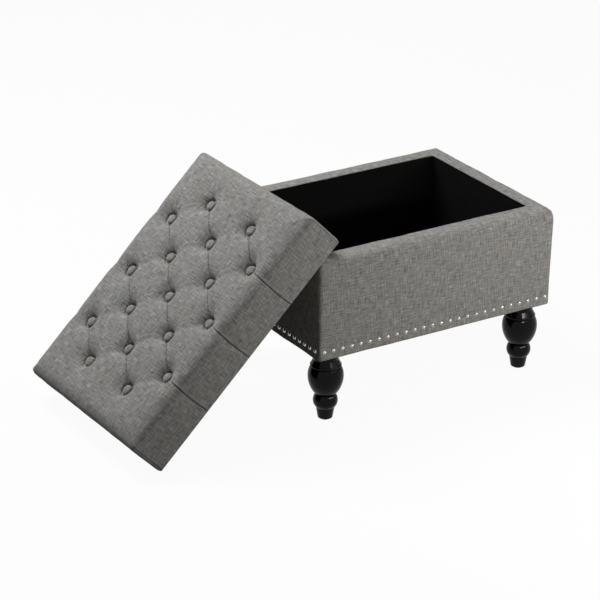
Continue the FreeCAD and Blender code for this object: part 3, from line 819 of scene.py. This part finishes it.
class Folds:
    """Pleats pressed into a fine cloth mesh, whose near vertices are first drawn onto each line."""

    FAINTEST = 0.02
    GROOVE_POWER = 1.5
    LIP_PLACE = 2.6
    LIP_WIDTH = 2.4

    def __init__(self, points, normals, cloth):
        self.points = points
        self.normals = normals
        end, side, drop = sides_of(cloth)
        self.flat = unfold(cloth, end, side, drop)
        self.shift = np.zeros_like(self.flat)
        across = np.where(end[:, None], -np.sign(cloth[:, :1]) * (0, 0, 1), (1.0, 0, 0))
        upward = np.where(side[:, None], -np.sign(cloth[:, 1:2]) * (0, 0, 1), (0, 1.0, 0))
        self.tangents = [self.level(across), self.level(upward)]
        self.groove = np.zeros(len(points))
        self.roll = np.zeros(len(points))
        self.drawn = np.zeros(len(points), bool)

    def level(self, way):
        """The direction, laid into the surface."""
        way = way - self.normals * (way * self.normals).sum(1, keepdims=True)
        return way / np.maximum(np.linalg.norm(way, axis=1, keepdims=True), TINY)

    def press(self, start, end, bow, level, pleat):
        """One pleat: a narrow groove with a lip of cloth on its left, as strong as level says."""
        width, depth, lip = pleat
        side = frame_of(start, end)[2]
        along, off = along_and_off(self.flat, start, end, bow)
        strength = level(along)
        near = (strength > self.FAINTEST) & (np.abs(off) < SNAP) & ~self.drawn
        move = -off[near, None] * side
        across, upward = (tangent[near] for tangent in self.tangents)
        self.points[near] += move[:, :1] * across + move[:, 1:] * upward
        self.shift[near] += move
        self.drawn |= near
        off = np.where(near, 0.0, off)
        sharp = np.exp(-np.abs(off / width) ** self.GROOVE_POWER)
        self.groove = np.maximum(self.groove, strength * depth * sharp)
        beside = (off - self.LIP_PLACE * width) / (self.LIP_WIDTH * width)
        self.roll = np.maximum(self.roll, strength * lip * np.exp(-beside ** 2))

    def pressed(self, extra):
        """The points with the pleats and some extra height put on them."""
        return self.points + self.normals * (self.roll - self.groove + extra)[:, None]


def pleats_between_buttons(folds):
    """A sharp pleat up one diagonal and a faint one up the other."""
    for start, end, kind in neighbour_lines():
        if kind == "fold":
            folds.press(end, start, FOLD_BOW, lambda t: fade(t - 0.04, 0.16), FOLD_PLEAT)
        else:
            folds.press(start, end, ARC_BOW, lambda t: fade(t - 0.04, 0.3), ARC_PLEAT)


def pleats_over_edges(folds):
    """Pleats over the edges: to the hem on the long sides, and short ones on the ends."""
    for start, end, bow, long_side in edge_lines():
        if long_side:
            depth = FRONT_PLEAT_DEPTH if start[1] < 0 else BACK_PLEAT_DEPTH
            folds.press(start, end, bow, lambda t: smooth((t - 0.09) / 0.25) * (t < 1.0),
                        (SIDE_PLEAT_WIDTH, depth, 0.3 * depth))
        else:
            depth = LOWER_PLEAT_DEPTH if start[0] < 0 else UPPER_PLEAT_DEPTH
            folds.press(start, end, bow,
                        lambda t: smooth((t - 0.08) / 0.2) * smooth((0.8 - t) / 0.6),
                        (END_PLEAT_WIDTH, depth, 0.5 * depth))


def puckers_round_buttons(folds):
    """Short creases out of each button: four deep ones towards the next row, four faint ones."""
    source = np.random.default_rng(11)
    upward = math.atan2(TUFT_UP[1], TUFT_UP[0])
    for place in tuft_places():
        centre = tuft_point(place)
        arms = [(upward + turn, source.uniform(0.023, 0.030), PUCKER_DEPTH)
                for turn in (-0.62, -0.25, 0.22, 0.55)]
        arms += [(upward + turn + source.uniform(-0.25, 0.25), source.uniform(0.018, 0.024),
                  FAINT_PUCKER_DEPTH) for turn in (-1.5, 1.4, 2.5, 3.6)]
        for angle, reach, depth in arms:
            tip = centre + reach * np.array([math.cos(angle), math.sin(angle)])
            folds.press(centre, tip, source.uniform(-0.001, 0.001),
                        lambda t: (t > 0.3) * smooth((1 - t) / 0.7),
                        (PUCKER_WIDTH, depth, PUCKER_LIP))


def corner_seams(folds):
    """The seams down the lid's upright corners."""
    for sx in (-1, 1):
        for sy in (-1, 1):
            top = np.array([sx, sy]) * (LID_HALF - CORNER_SEAM)
            foot = np.array([top[0], sy * (LID_HALF[1] + LID_HEIGHT)])
            folds.press(top, foot, 0.0, lambda t: smooth(t / 0.06) * (t < 1.0), SEAM_PLEAT)


def map_threads(obj, cloth, shift):
    """Store the unfolded cloth coordinates as the cushion's thread map, face by face."""
    corner_vertex, owner, counts = face_corners(obj.data)
    at = cloth[corner_vertex]
    middle = face_middles(at, owner, counts)
    end, side = (part[owner] for part in sides_of(middle)[:2])
    inward = LID_HALF - np.abs(at[:, :2])
    under = middle[owner][:, 2] < TINY
    drop = LID_HEIGHT - at[:, 2] + under * np.where(end, inward[:, 0], inward[:, 1])
    store_threads(obj.data, unfold(at, end, side, drop) + shift[corner_vertex])


def shade_creased(obj, groove):
    """Smooth shading, except on the steep faces inside the pleats, which stay crisp."""
    corner_vertex, owner, counts = face_corners(obj.data)
    deepest = np.zeros(len(counts))
    np.maximum.at(deepest, owner, groove[corner_vertex])
    obj.data.polygons.foreach_set("use_smooth", deepest < CRISP_DEPTH)


def lid_matrix():
    """Where the lid's own frame stands at rest, from the joints that carry and level it."""
    carry, tilt = frame["joints"]
    lean = math.radians(carry["range_deg"][1] - tilt["range_deg"][1])
    turn = Matrix.Rotation(-lean, 4, "Y")
    middle = Vector(tilt["pos_m"]) - turn.to_3x3() @ Vector((0, 0, STRETCHER_HEIGHT))
    return Matrix.Translation(middle) @ turn


def cushion_shape(cloth):
    """Points of the tufted slab: rounded, sunk at the buttons and drawn in over the edges."""
    points = onto_slab(cloth)
    height = smooth((points[:, 2] - LID_HEIGHT + LID_EDGE_RADIUS) / LID_EDGE_RADIUS)
    points[:, 2] -= height * (dish_depth(cloth[:, :2]) + valley_depth(cloth[:, :2]) + TOP_SINK)
    outward = points - slab_core(points)
    outward /= np.maximum(np.linalg.norm(outward, axis=1, keepdims=True), TINY)
    drawn = edge_valley(unfold(cloth, *sides_of(cloth)))[:, None]
    return points - outward * drawn * (cloth[:, 2:] > TINY)


def cushion_hold(cloth, points, drop):
    """How firmly each point is held while the cushion puffs: the hem and the buttons in full."""
    held = np.where(points[:, 2] < HEM_HEIGHT, 1.0, SIDE_HOLD * smooth(drop / SIDE_HOLD_DROP))
    for place in tuft_places():
        near = np.clip(1.7 - from_tuft(cloth[:, :2], place) / BUTTON_HOLD, 0, 1)
        held = np.maximum(held, near * (drop < TINY))
    return held


def lid_cushion():
    """The tufted lid: a padded slab, puffed between its buttons, then folded and pleated."""
    size = np.array([LID_LENGTH, LID_WIDTH, LID_HEIGHT])
    counts = np.round(size / LATTICE).astype(int)
    triples, faces = box_lattice(counts)
    cloth = triples / counts * size
    cloth[:, :2] -= LID_HALF
    points = cushion_shape(cloth)
    obj = new_piece("lid_cushion", points, faces)
    store_vectors(obj.data, "cloth", cloth)
    drop = sides_of(cloth)[2]
    inward = (LID_HALF - np.abs(cloth[:, :2])).min(1)
    cap = SIDE_CAP + (TOP_CAP - SIDE_CAP) * smooth(inward / CAP_EASE) * (drop < TINY)
    puff(obj, cushion_hold(cloth, points, drop), cap)
    refine(obj)
    refine(obj)
    cloth = read_points(obj.data, "cloth")
    folds = Folds(read_points(obj.data), read_normals(obj.data), cloth)
    pleats_between_buttons(folds)
    pleats_over_edges(folds)
    puckers_round_buttons(folds)
    corner_seams(folds)
    above_hem = smooth(cloth[:, 2] / HEM_HEIGHT)
    folds.roll *= above_hem
    ripple = waves_of(cloth, LID_WAVES) - moat_depth(cloth)
    write_points(obj.data, folds.pressed(ripple * above_hem))
    map_threads(obj, cloth, folds.shift)
    shade_creased(obj, folds.groove)
    return obj


def button_cover(mesh, centre, seed):
    """One covered button: a low dome with a rounded edge, whose cloth puckers a little round it."""
    source = np.random.default_rng(seed)
    tilt = source.uniform(-0.05, 0.05, 2)
    spin = source.uniform(0, 2 * math.pi)
    layers = []
    for share, level in BUTTON_PROFILE:
        ring = []
        for spoke in range(1 if share == 0 else BUTTON_SPOKES):
            angle = 2 * math.pi * spoke / BUTTON_SPOKES
            pucker = 0.010 * share * math.sin(BUTTON_PUCKERS * angle + spin)
            radius = BUTTON_RADIUS * share * (1 + pucker)
            x, y = radius * math.cos(angle), radius * math.sin(angle)
            z = BUTTON_EDGE + BUTTON_CROWN * level + tilt[0] * x + tilt[1] * y
            ring.append(mesh.verts.new((centre[0] + x, centre[1] + y, z)))
        layers.append(ring)
    for inner, outer in zip(layers, layers[1:]):
        for spoke in range(BUTTON_SPOKES):
            after = (spoke + 1) % BUTTON_SPOKES
            if len(inner) == 1:
                mesh.faces.new((inner[0], outer[spoke], outer[after]))
            else:
                mesh.faces.new((inner[spoke], outer[spoke], outer[after], inner[after]))
    mesh.faces.new(list(reversed(layers[-1])))


def button_covers():
    """All the covered buttons of the lid."""
    mesh = bmesh.new()
    for number, place in enumerate(tuft_places()):
        button_cover(mesh, tuft_point(place), number)
    data = bpy.data.meshes.new("button_covers")
    mesh.to_mesh(data)
    mesh.free()
    flat = read_points(data)[face_corners(data)[0]][:, :2]
    store_threads(data, flat + BUTTON_CLOTH_OFFSET)
    data.shade_smooth()
    return add_to_scene("button_covers", data)


def build_lid():
    """The lid's cushion and its covered buttons, on the lid's body."""
    place = lid_matrix()
    cushion = lid_cushion()
    covers = button_covers()
    for obj in (cushion, covers):
        dress(obj, LINEN)
        obj.matrix_world = place
        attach(obj, "lid")
    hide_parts("lid_cover", "lid_foam")
    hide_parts("lid_buttons")


# ---------------------------------------------------------------- box

def wall_profile():
    """Points from the lining over the padded rim and down the wall to the hem: (inset, height)."""
    points = [(RIM_WIDTH - LINING_TUCK, LINING_TOP - LINING_LAP), (RIM_WIDTH, LINING_TOP + 0.0002)]
    for turn in np.linspace(0, math.pi / 2, CORNER_STEPS):
        points.append((RIM_WIDTH + RIM_OVERLAP - RIM_INNER_RADIUS * (1 - math.cos(turn)),
                       RIM_CREST - RIM_FALL - RIM_INNER_HEIGHT * (1 - math.sin(turn))))
    flat = RIM_ROLL_WIDTH - RIM_WIDTH + RIM_INNER_RADIUS
    for share in np.linspace(0, 1, 4)[1:-1]:
        points.append((RIM_WIDTH - RIM_INNER_RADIUS + share * flat,
                       RIM_CREST - RIM_FALL * (1 - share) ** 2))
    roll = RIM_ROLL_WIDTH + RIM_SWELL
    for turn in np.linspace(0, math.pi / 2, 10):
        points.append((RIM_ROLL_WIDTH - roll * math.sin(turn) ** RIM_ROLL_POWER,
                       RIM_CREST - RIM_ROLL_DROP * (1 - math.cos(turn) ** RIM_ROLL_POWER)))
    upper, bottom = RIM_CREST - RIM_ROLL_DROP, LEG_TOP + BOX_HEM_EDGE
    for share in np.linspace(0, 1, round((upper - bottom) / WALL_STEP) + 1)[1:]:
        points.append((-RIM_SWELL * (1 - share) ** 1.4, upper + share * (bottom - upper)))
    points.append((BOX_HEM_EDGE, LEG_TOP))
    for share in np.linspace(0, 1, 5)[1:]:
        points.append((BOX_HEM_EDGE + share * (BOX_HEM - BOX_HEM_EDGE), LEG_TOP))
    return np.array(points)


def outline_path():
    """Places round the box's outline, and the outward direction at each."""
    half = np.array([HALF_LENGTH, HALF_WIDTH]) - BOX_CORNER_RADIUS
    corners = [np.array(signs) * half for signs in ((1, -1), (1, 1), (-1, 1), (-1, -1))]
    places, ways = [], []
    for number, centre in enumerate(corners):
        for turn in np.linspace(0, math.pi / 2, CORNER_STEPS) + (number - 1) * math.pi / 2:
            way = np.array([math.cos(turn), math.sin(turn)])
            places.append(centre + BOX_CORNER_RADIUS * way)
            ways.append(way)
        start = places[-1]
        gap = corners[(number + 1) % 4] + BOX_CORNER_RADIUS * way - start
        for share in np.linspace(0, 1, round(np.linalg.norm(gap) / WALL_STEP) + 1)[1:-1]:
            places.append(start + share * gap)
            ways.append(way)
    return np.array(places), np.array(ways)


def nail_places():
    """Where each nail stands, as (x, y) on the box's faces."""
    places = []
    low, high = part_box("nails_front")
    for x in np.linspace(low.x + NAIL_RADIUS, high.x - NAIL_RADIUS, NAILS_LONG):
        places += [(x, -HALF_WIDTH), (x, HALF_WIDTH)]
    low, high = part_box("nails_left")
    for y in np.linspace(low.y + NAIL_RADIUS, high.y - NAIL_RADIUS, NAILS_SHORT):
        places += [(-HALF_LENGTH, y), (HALF_LENGTH, y)]
    return np.array(places)


def wall_grid():
    """The box's fabric as a grid of rings, with how far each ring's cloth has come over the rim."""
    profile = wall_profile()
    places, ways = outline_path()
    limit = np.array([HALF_LENGTH, HALF_WIDTH])
    down = np.r_[0, np.cumsum(np.linalg.norm(np.diff(profile, axis=0), axis=1))]
    points = []
    for inset, height in profile:
        ring = places - ways * inset
        if inset > BOX_CORNER_RADIUS:
            ring = places * (limit - inset) / limit
        points += [(x, y, height) for x, y in ring]
    columns = len(places)
    faces = []
    for first in range(0, (len(profile) - 1) * columns, columns):
        below = first + columns
        for column in range(columns):
            after = (column + 1) % columns
            faces.append((first + column, below + column, below + after, first + after))
    return np.array(points), faces, np.repeat(down, columns)


def wall_creases(points):
    """Height of the small forms of the walls: dents at the nails and pulls at the upper corners."""
    height = waves_of(points, WALL_WAVES)
    for x, y in nail_places():
        r = np.linalg.norm(points - (x, y, NAIL_Z), axis=1)
        height -= NAIL_DENT * np.exp(-(r / NAIL_DENT_RADIUS) ** 2)
    below = RIM_TOP - points[:, 2]
    for away in (HALF_LENGTH - np.abs(points[:, 0]), HALF_WIDTH - np.abs(points[:, 1])):
        pull = np.sin(2 * math.pi * (away * 0.45 - below * 0.9) / PULL_PITCH)
        pull = PULL_HEIGHT * pull * np.exp(-np.maximum(away, 0) / PULL_LENGTH)
        height += pull * np.exp(-(below / PULL_DROP) ** 2) * (away > PULL_START)
    return height


def map_wall_threads(obj):
    """Store the thread map of the walls: along each wall, and over the rim and down."""
    corner_vertex, owner, counts = face_corners(obj.data)
    at = read_points(obj.data)[corner_vertex]
    down = read_points(obj.data, "down")[corner_vertex][:, 0]
    middle = face_middles(at, owner, counts)[owner]
    end = HALF_LENGTH - np.abs(middle[:, 0]) < HALF_WIDTH - np.abs(middle[:, 1])
    along = np.where(end, np.sign(middle[:, 0]) * at[:, 1] + HALF_LENGTH,
                     -np.sign(middle[:, 1]) * at[:, 0])
    store_threads(obj.data, np.stack([along, -down], 1))


def box_upholstery():
    """The box's fabric: padded walls that swell towards the rim, dented round every nail."""
    points, faces, down = wall_grid()
    obj = new_piece("box_upholstery", points, faces)
    store_vectors(obj.data, "down", np.stack([down] * 3, 1))
    rise = np.clip((points[:, 2] - LEG_TOP) / (RIM_TOP - LEG_TOP), 0, 1)
    skin = np.array([HALF_LENGTH, HALF_WIDTH]) - WALL_SKIN
    outer = (np.abs(points[:, :2]) > skin).any(1)
    held = np.where(outer & (rise > WALL_HELD_BELOW), WALL_HOLD, 1.0)
    eased = smooth((RIM_TOP - points[:, 2]) / PUFF_EASE)
    puff(obj, held, LEAST_PUFF + WALL_PUFF * rise * eased)
    refine(obj)
    points = read_points(obj.data)
    write_points(obj.data, points + read_normals(obj.data) * wall_creases(points)[:, None])
    map_wall_threads(obj)
    obj.data.shade_smooth()
    return obj


def build_box():
    """The box's upholstery, on the box's body."""
    upholstery = box_upholstery()
    dress(upholstery, LINEN)
    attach(upholstery, "box")
    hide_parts("box_cover", "pad_front", "pad_back", "pad_left", "pad_right")


# ---------------------------------------------------------------- studio

def seen_by_eye(tree):
    """1 for the camera's rays and for those that gloss and glass send on, and 0 for the rest."""
    path = tree.nodes.new("ShaderNodeLightPath")
    seen = path.outputs["Is Camera Ray"]
    for ray in ("Is Glossy Ray", "Is Transmission Ray"):
        either = tree.nodes.new("ShaderNodeMath")
        either.operation = "MAXIMUM"
        tree.links.new(seen, either.inputs[0])
        tree.links.new(path.outputs[ray], either.inputs[1])
        seen = either.outputs[0]
    return seen


def backdrop():
    """A floor that is mid-grey to the light, and to the eye white with the bench's shadow."""
    corners = np.array([(-1, -1, 0), (1, -1, 0), (1, 1, 0), (-1, 1, 0)]) * FLOOR_HALF
    obj = new_piece("studio_floor", corners, [(0, 1, 2, 3)])
    nodes = Nodes("studio_floor")
    grain = nodes.noise(object_coordinates(nodes), 3)
    grey = nodes.ramp(grain, [(0.0, (0.10,) * 3), (1.0, (0.13,) * 3)])
    pale = nodes.ramp(grain, [(0.0, (0.78,) * 3), (1.0, (0.82,) * 3)])
    nodes.put(nodes.shader, "Base Color", grey)
    paint = nodes.add("BsdfDiffuse", Color=pale)
    glow = nodes.add("Emission", Strength=1.0)
    white = nodes.mixed(FLOOR_GLOW, paint.outputs[0], glow.outputs[0])
    floor = nodes.mixed(seen_by_eye(nodes.tree), nodes.shader.outputs[0], white)
    nodes.put(nodes.output, "Surface", floor)
    dress(obj, nodes.material)


def sky():
    """A dim even sky for the light, white to the eye and in reflections."""
    world = bpy.data.worlds.new("studio")
    bpy.context.scene.world = world
    world.use_nodes = True
    tree = world.node_tree
    tree.nodes.clear()
    blend = tree.nodes.new("ShaderNodeMixShader")
    tree.links.new(seen_by_eye(tree), blend.inputs[0])
    for slot, strength in ((1, SKY_LIGHT), (2, 1.0)):
        background = tree.nodes.new("ShaderNodeBackground")
        background.inputs[0].default_value = (1, 1, 1, 1)
        background.inputs[1].default_value = strength
        tree.links.new(background.outputs[0], blend.inputs[slot])
    output = tree.nodes.new("ShaderNodeOutputWorld")
    tree.links.new(blend.outputs[0], output.inputs[0])


def softbox(name, place, aim, size, power, tint):
    """A rectangular studio light that faces a place on the bench."""
    light = bpy.data.lights.new(name, "AREA")
    light.shape = "RECTANGLE"
    light.size, light.size_y = size
    light.energy = power
    light.color = tint
    obj = add_to_scene(name, light)
    obj.location = place
    obj.rotation_euler = (aim - place).to_track_quat("-Z", "Y").to_euler()


def lights():
    """The key hangs above the lid, a little behind it, and a long low strip fills the front."""
    softbox("key", KEY_PLACE, KEY_AIM, KEY_SIZE, KEY_POWER, KEY_TINT)
    softbox("fill", FILL_PLACE, FILL_AIM, FILL_SIZE, FILL_POWER, FILL_TINT)


def camera():
    """The camera at the photograph's angle."""
    azimuth = math.radians(CAMERA_AZIMUTH)
    elevation = math.radians(CAMERA_ELEVATION)
    level = math.cos(elevation)
    ahead = Vector((math.sin(azimuth) * level, math.cos(azimuth) * level, -math.sin(elevation)))
    data = bpy.data.cameras.new("camera")
    data.lens = CAMERA_LENS
    data.sensor_width = CAMERA_SENSOR
    data.clip_end = 60.0
    obj = add_to_scene("camera", data)
    roll = Matrix.Rotation(math.radians(CAMERA_ROLL), 4, "Z")
    facing = ahead.to_track_quat("-Z", "Y").to_matrix().to_4x4() @ roll
    obj.matrix_world = Matrix.Translation(CAMERA_AIM - ahead * CAMERA_DISTANCE) @ facing
    bpy.context.scene.camera = obj


dress_cad_nodes()
build_box()
build_lid()
backdrop()
sky()
lights()
camera()
bpy.context.scene.view_settings.view_transform = "Standard"
